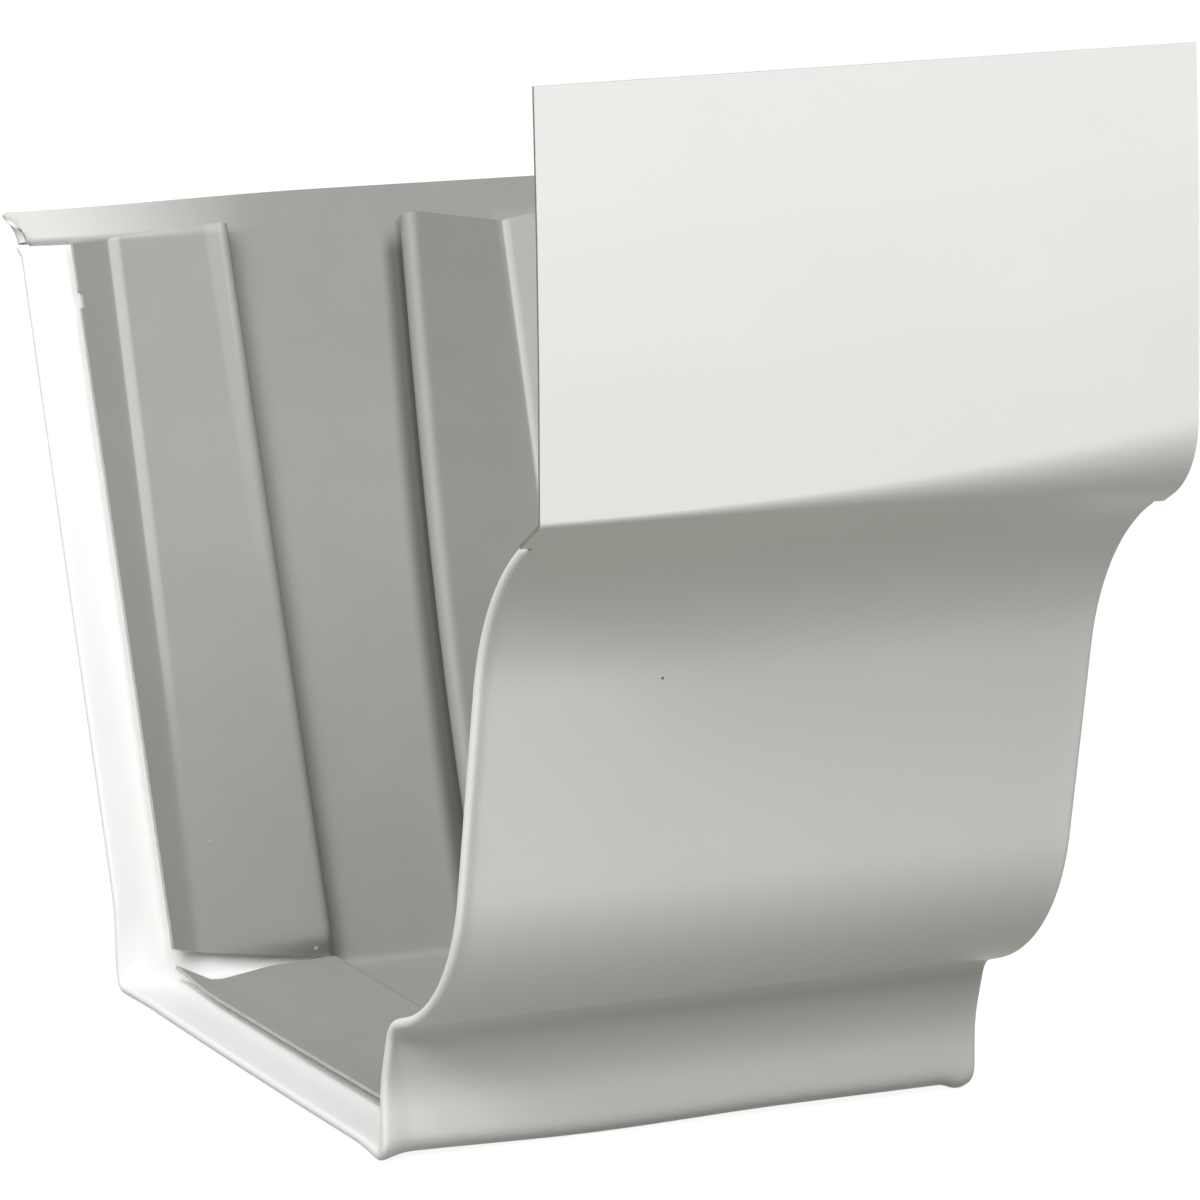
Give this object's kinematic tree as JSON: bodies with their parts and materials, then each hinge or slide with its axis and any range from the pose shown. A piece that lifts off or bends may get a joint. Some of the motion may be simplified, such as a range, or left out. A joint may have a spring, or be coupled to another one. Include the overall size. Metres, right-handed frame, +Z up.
{
  "type": "gutter connector",
  "caption": "Folded sheet-metal connector that joins two lengths of ogee-fronted roof gutter, with hemmed ends and slip pockets.",
  "frame": {"origin": "under the middle of the part's box, on the plane that the swells at the front's bottom corners stand on, 0.7 mm below the gutter bottom's outer face", "axes": "X runs along the gutter, the ogee and fascia face -Y, the back leans towards +Y, +Z is up"},
  "size_m": [0.0804, 0.1721, 0.1297],
  "materials": {
    "painted_sheet": "semi-gloss white coil coating outside, thin matt grey wash coat inside, bare cut edges"
  },
  "bodies": {
    "root": {"gutter_connector": "painted_sheet"}
  },
  "joints": []
}
